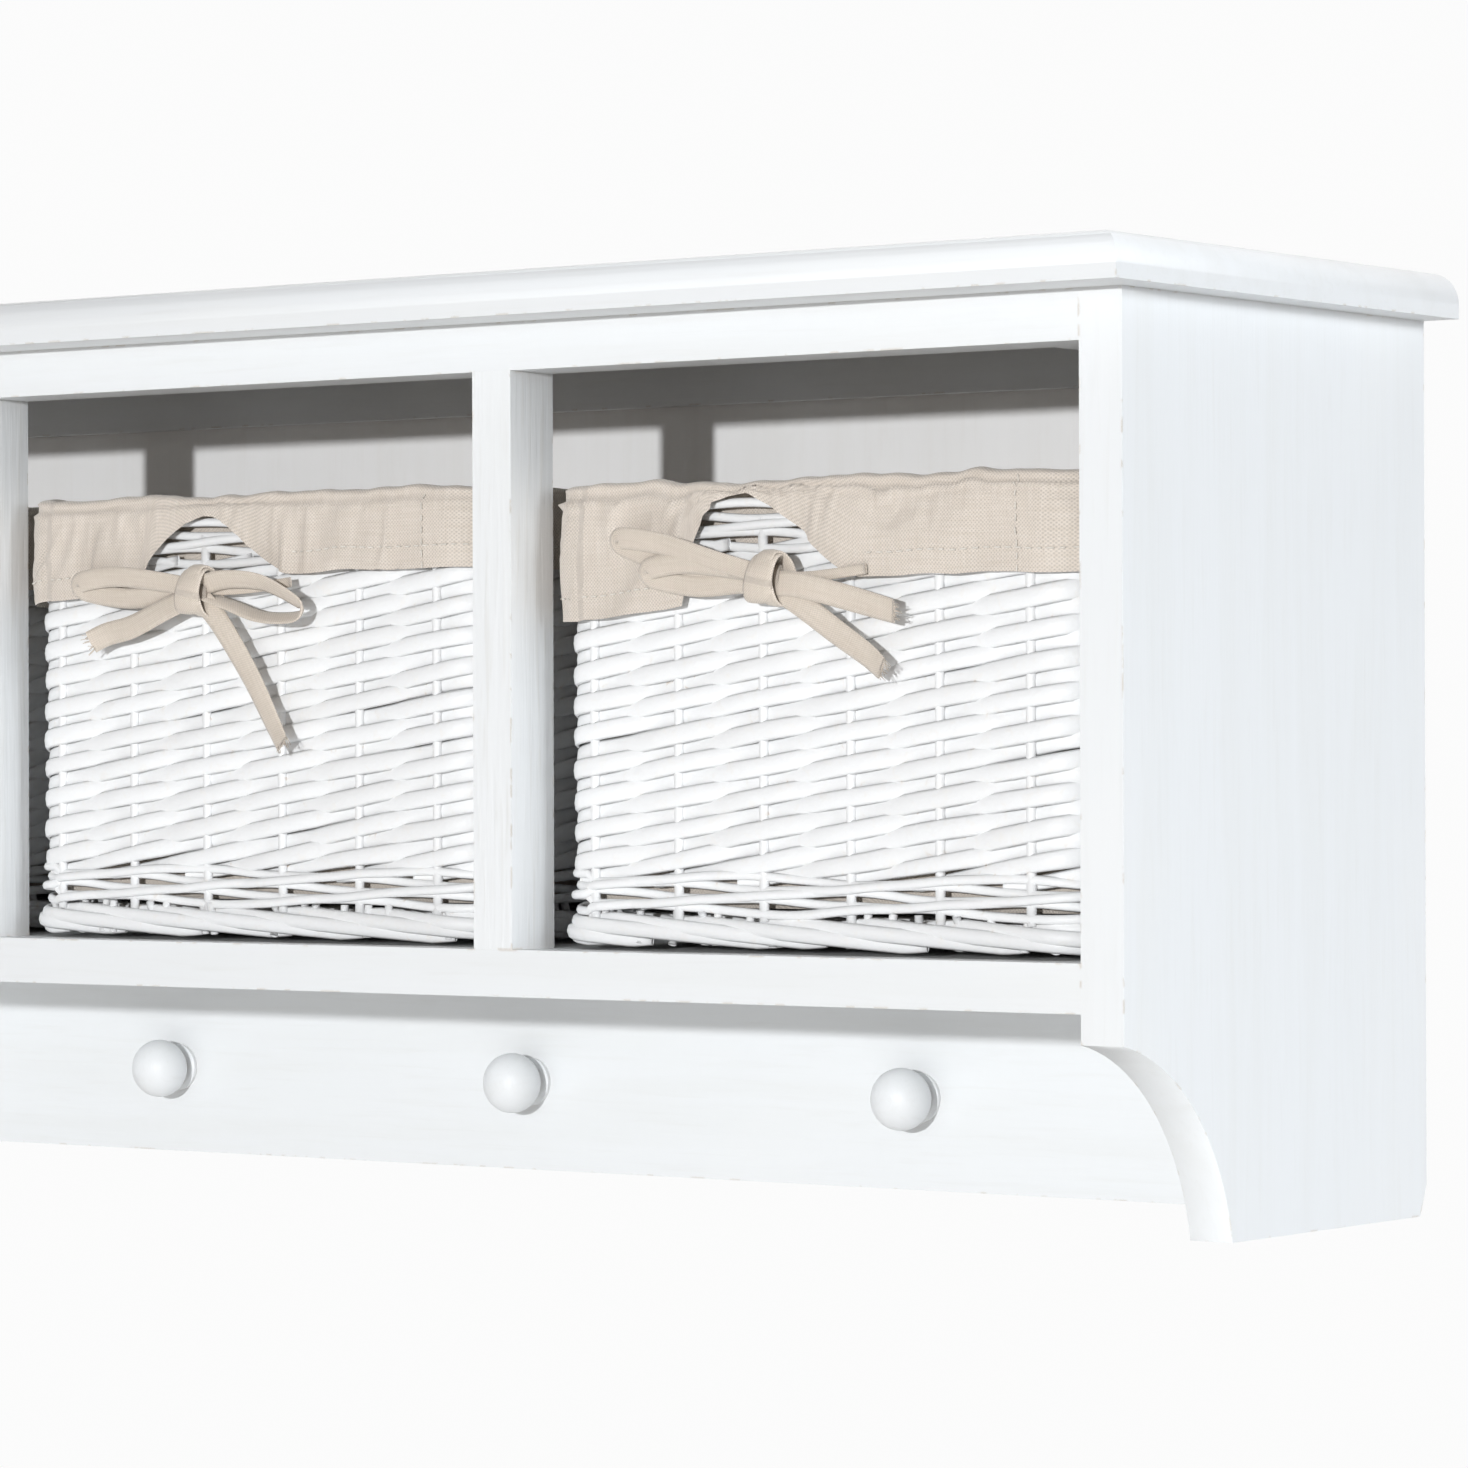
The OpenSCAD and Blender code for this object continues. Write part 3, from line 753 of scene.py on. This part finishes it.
def cut_liner(side):
    cut = LINERS[side]
    seed = cut["seed"]
    outline = basket_outline(side)
    rows = CUFF_ROWS + FOLD_ROWS + BAG_ROWS
    points, marks = [], []
    for i in range(ROUND):
        s = outline.length * i / ROUND
        spot, out = outline.at(s)
        x = (spot.x - outline.centre[0]) / MM
        in_front = out.y < -0.95
        hem = hem_height(cut, x, in_front) + wander(s * 45, 0, seed) * 1.0
        crest = cut["crest"] + wander(s * 22, 3, seed) * 3.0 + wander(s * 90, 4, seed) * 1.3
        hem = min(hem, crest - 4)
        slack = 0.5 + 0.5 * wander(s * 14, 8, seed)
        run = 0.0
        before = None
        for row in range(rows):
            if row < CUFF_ROWS:
                t = row / (CUFF_ROWS - 1)
                height = hem + (crest - 2.6 - hem) * t
                belly = math.sin(math.pi * min(1.0, t * 1.1)) * (0.7 + 1.3 * slack)
                pucker = wander(s * 230, height / 9, seed) * 0.5 * (1 - t) ** 2
                offset = 4.2 + belly + pucker + wander(s * 50, height / 16, seed) * 0.8
            elif row < CUFF_ROWS + FOLD_ROWS:
                turn = math.pi * (row - CUFF_ROWS + 1) / (FOLD_ROWS + 1)
                height = crest - 2.6 + 2.6 * math.sin(turn)
                offset = 0.2 + 4.6 * math.cos(turn)
            else:
                t = (row - CUFF_ROWS - FOLD_ROWS) / (BAG_ROWS - 1)
                height = crest - 2.6 - (crest - 2.6 - 15.2) * t
                offset = -4.6 - 0.9 * t + wander(s * 26, height / 30, seed + 1) * 0.9 - 0.6
            limit = 8.4 if in_front else 7.2
            place = spot + out * min(offset, limit) * MM + Vector((0, 0, SHELF_TOP + height * MM))
            run += (place - before).length if before is not None else 0.0
            before = place
            points.append(place)
            marks.append((s, run))
    faces = []
    for i in range(ROUND):
        for row in range(rows - 1):
            a, b = i * rows + row, (i + 1) % ROUND * rows + row
            faces.append((a, b, b + 1, a + 1))
    faces.append(tuple(i * rows + rows - 1 for i in range(ROUND)))
    mesh = bpy.data.meshes.new(f"{side}_liner")
    mesh.from_pydata([tuple(p) for p in points], [], faces)
    mesh.polygons.foreach_set("use_smooth", [True] * len(mesh.polygons))
    lay_threads(mesh, marks)
    mesh.materials.append(LINEN)
    obj = bpy.data.objects.new(f"{side}_liner", mesh)
    bpy.context.scene.collection.objects.link(obj)
    return obj


liners = {side: cut_liner(side) for side in SIDES}

# %% [markdown]
# The cuff is loose cloth that only its fold holds. A short cloth simulation lets it hang against
# the basket from a slightly slack cut, so it finds its own soft folds. A plain upright band
# stands for the wicker, and a point may not travel more than a few millimetres.

# %% Let the cuffs hang
BAND_POINTS = 120


def band(side):
    outline = basket_outline(side)
    ring = [outline.at(outline.length * i / BAND_POINTS) for i in range(BAND_POINTS)]
    points = []
    for z in (95, 125, 158):
        points += [p + out * 3.6 * MM + Vector((0, 0, SHELF_TOP + z * MM)) for p, out in ring]
    faces = []
    for here in (0, BAND_POINTS):
        there = here + BAND_POINTS
        for i in range(BAND_POINTS):
            n = (i + 1) % BAND_POINTS
            faces.append((here + i, here + n, there + n, there + i))
    mesh = bpy.data.meshes.new("hanging_band")
    mesh.from_pydata([tuple(p) for p in points], [], faces)
    obj = bpy.data.objects.new("hanging_band", mesh)
    bpy.context.scene.collection.objects.link(obj)
    solid = obj.modifiers.new("collide", "COLLISION")
    solid.settings.thickness_outer = 0.0005
    solid.settings.cloth_friction = 12
    return obj


def hang(obj, side, frames=14, cap=0.0035):
    rows = CUFF_ROWS + FOLD_ROWS + BAG_ROWS
    start = [v.co.copy() for v in obj.data.vertices]
    held = obj.vertex_groups.new(name="held")
    held.add([i for i in range(len(start)) if i % rows >= CUFF_ROWS - 2], 1.0, "REPLACE")
    wicker = band(side)
    cloth = obj.modifiers.new("cloth", "CLOTH")
    cloth.settings.quality = 5
    cloth.settings.mass = 0.2
    cloth.settings.tension_stiffness = 25
    cloth.settings.compression_stiffness = 12
    cloth.settings.shear_stiffness = 6
    cloth.settings.bending_stiffness = 0.05
    cloth.settings.shrink_min = -0.035
    cloth.settings.vertex_group_mass = "held"
    cloth.collision_settings.distance_min = 0.0006
    cloth.collision_settings.use_self_collision = False
    cloth.point_cache.frame_start = 1
    cloth.point_cache.frame_end = frames
    scene = bpy.context.scene
    for step in range(1, frames + 1):
        scene.frame_set(step)
    shaped = obj.evaluated_get(bpy.context.evaluated_depsgraph_get())
    moved = [v.co.copy() for v in shaped.data.vertices]
    obj.modifiers.remove(cloth)
    farthest = 0.0
    for vertex, old, new in zip(obj.data.vertices, start, moved):
        shift = new - old
        farthest = max(farthest, shift.length)
        if shift.length > cap:
            shift *= cap / shift.length
        vertex.co = old + shift
    scene.frame_set(1)
    bpy.data.objects.remove(wicker)
    obj.vertex_groups.clear()
    return farthest


for side in SIDES:
    print(side, "cuff moved at most", round(hang(liners[side], side), 4), "m")

# %% [markdown]
# Topstitching holds the hem with short pale dashes, a finger's width above the edge, that follow every
# ripple of the cloth. One upright seam by the right front corner closes the liner.

# %% Stitch the hem and the corner seam
def stitch(bundle, line, outs, dash=2.7 * MM, space=1.5 * MM):
    travelled, made = 0.0, []
    for a, b, out in zip(line, line[1:], outs):
        travelled += (b - a).length
        if travelled % (dash + space) < dash:
            made.append((a, out))
        elif len(made) > 1:
            bundle.sweep([p for p, o in made], [o for p, o in made], 0.22 * MM, 0.30 * MM, sides=6)
            made = []
        else:
            made = []


def smooth_line(points, finer):
    line = []
    for i in range(len(points) - 1):
        before, a = points[max(i - 1, 0)], points[i]
        b, after = points[i + 1], points[min(i + 2, len(points) - 1)]
        for k in range(finer):
            t = k / finer
            line.append(0.5 * ((2 * a) + (b - before) * t + (2 * before - 5 * a + 4 * b - after) * t * t
                               + (3 * a - before - 3 * b + after) * t ** 3))
    line.append(points[-1])
    return line


def sew(side):
    obj = liners[side]
    rows = CUFF_ROWS + FOLD_ROWS + BAG_ROWS
    outline = basket_outline(side)
    grid = [[obj.data.vertices[i * rows + row].co.copy() for row in range(rows)] for i in range(ROUND)]
    seams = Bundle(f"{side}_stitching")
    low, top, high = LINERS[side]["notch"]
    line, outs = [], []
    for i in range(ROUND):
        spot, out = outline.at(outline.length * i / ROUND)
        x = (spot.x - outline.centre[0]) / MM
        column = grid[i]
        at_notch = out.y < -0.95 and low - 5 < x < high + 3
        if at_notch:
            if len(line) > 3:
                fine = smooth_line(line, 4)
                stitch(seams, fine, [outs[min(n // 4, len(outs) - 1)] for n in range(len(fine))])
            line, outs = [], []
            continue
        up = 8 * MM
        k = next(r for r in range(CUFF_ROWS) if column[r].z - column[0].z >= up)
        share = (up - (column[k - 1].z - column[0].z)) / (column[k].z - column[k - 1].z)
        line.append(column[k - 1].lerp(column[k], share) + out * 0.35 * MM)
        outs.append(out)
    fine = smooth_line(line, 4)
    stitch(seams, fine, [outs[min(n // 4, len(outs) - 1)] for n in range(len(fine))])
    corner = int(ROUND * (outline.half[0] * 2 - 6 * MM) / outline.length)
    out = outline.at(outline.length * corner / ROUND)[1]
    rise = [grid[corner][r] + out * 0.35 * MM for r in range(CUFF_ROWS + 2)]
    fine = smooth_line(rise, 5)
    stitch(seams, fine, [out] * len(fine))
    return seams.build(THREAD, f"{side}_basket")


for side in SIDES:
    obj = liners[side]
    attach(obj, f"{side}_basket")
    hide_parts(f"{side}_basket_liner")
    seams = sew(side)

# %% [markdown]
# ## The bows
#
# A tape folded lengthwise comes out of the hem on both sides of the arch and is tied in front.
# Each bow has a fat knot, loops that droop or lie to one side, and two tails cut at a slant with
# their threads coming loose.

# %% Tie the bows
LOOSE_YARNS = 16
BOWS = {
    "left": {"knot": (-9, 129), "loops": [(-52, -8, 5), (50, 3, 5)], "tails": [(-40, -40), (45, -26)]},
    "middle": {"knot": (-16, 128), "loops": [(-58, 3, 4), (50, -7, 7)], "tails": [(-52, -18), (41, -56)]},
    "right": {"knot": (-11, 127.5), "loops": [(-63, 14, 3), (-51, 3, 4)], "tails": [(52, -12), (47, -31)]},
}


def tie_bow(side, seed):
    chance = random.Random(seed)
    bow = BOWS[side]
    outline = basket_outline(side)
    low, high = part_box(f"{side}_basket_wall")
    knot_x, knot_z = bow["knot"]
    origin = Vector((outline.centre[0] + knot_x * MM, low.y - 6.9 * MM, SHELF_TOP + knot_z * MM))
    tape = Bundle(f"{side}_bow")
    front = Vector((0, -1, 0))

    def at(x, z, lift):
        return origin + Vector((x, -lift, z)) * MM

    def strip(points, lean, half, thick=0.75):
        line = smooth_line([at(*p) for p in points], 7)
        outs = []
        for i in range(len(line)):
            a = math.radians(lean[0] + (lean[1] - lean[0]) * i / (len(line) - 1))
            ahead = (line[min(i + 1, len(line) - 1)] - line[max(i - 1, 0)]).normalized()
            side_way = ahead.cross(front).normalized()
            outs.append(front * math.cos(a) + side_way * math.sin(a))
        tape.sweep(line, outs, thick * MM, half * MM, sides=10)
        return line

    for number, (x, z, open_by) in enumerate(bow["loops"]):
        lift = 2.6 - number * 0.8
        far = 1 if x > 0 else -1
        strip([(far * 2, 1.5, lift + 1), (x * 0.3, z * 0.25 + open_by * 0.8, lift + 2.2),
               (x * 0.65, z * 0.65 + open_by, lift + 1.6), (x * 0.93, z * 0.97 + open_by * 0.45, lift + 0.6),
               (x, z, lift - 0.4), (x * 0.92, z * 0.9 - open_by * 0.55, lift - 1.2),
               (x * 0.6, z * 0.5 - open_by * 0.9, lift - 1.4), (x * 0.28, z * 0.2 - open_by * 0.5, lift - 1),
               (far * 2, -1.5, lift - 0.6)], (24 * far, 24 * far + 50), 4.0, thick=0.7)
    for number, (x, z) in enumerate(bow["tails"]):
        far = 1 if x > 0 else -1
        bend = chance.uniform(-2.5, 2.5)
        line = strip([(far * 1, -2, 2.5), (x * 0.25, z * 0.22 + bend, 3.4 - number),
                      (x * 0.6, z * 0.58 + bend, 2.2 - number), (x * 0.85, z * 0.84, 1.6 - number * 0.6),
                      (x, z, 2.0)], (-14 * far, 20 * far), 4.5, thick=0.7)
        ahead = (line[-1] - line[-4]).normalized()
        sideways = ahead.cross(front)
        for k in range(LOOSE_YARNS):
            root = line[-2] + sideways * chance.uniform(-3.2, 3.2) * MM
            loose = ahead * chance.uniform(1.5, 4.5)
            loose += sideways * chance.uniform(-1.2, 1.2) + front * chance.uniform(-0.4, 1.2)
            yarn = [root, root + loose * 0.5 * MM, root + loose * MM]
            tape.sweep(yarn, [front] * 3, 0.11 * MM, 0.14 * MM, sides=5)
    turns = [2 * math.pi * k / 22 for k in range(22)]
    ring = [at(1.6 * math.sin(a), 7.8 * math.sin(a), 2.8 + 4.3 * math.cos(a)) for a in turns]
    ring_outs = [Vector((0, -math.cos(a), math.sin(a))) for a in turns]
    tape.sweep(ring, ring_outs, 0.9 * MM, 5.8 * MM, sides=12, closed=True)
    slanted = [at(-2.5 * math.cos(a) + 3.5, 8.8 * math.sin(a) + 1.6 * math.cos(a),
                  2.3 + 4.2 * math.cos(a)) for a in turns]
    tape.sweep(slanted, ring_outs, 0.8 * MM, 4.0 * MM, sides=12, closed=True)
    heart = [at(-5.5, 0, 1.6), at(0, 0, 3), at(5.5, 0, 1.6)]
    tape.sweep(heart, [front] * 3, 2.4 * MM, 4.6 * MM, sides=12)
    notch = LINERS[side]["notch"]
    for edge in (notch[0] - 3, notch[2] + 4):
        x = edge - bow["knot"][0]
        strip([(0, 0, 0.4), (x * 0.5, 0.5, -0.2), (x, 2.5, -0.6)], (0, 0), 1.9, thick=0.6)
    obj = tape.build(TAPE, f"{side}_basket", [f"{side}_basket_bow"])
    return len(obj.data.vertices)


for number, side in enumerate(SIDES):
    print(side, "bow tied,", tie_bow(side, 31 + number), "points")
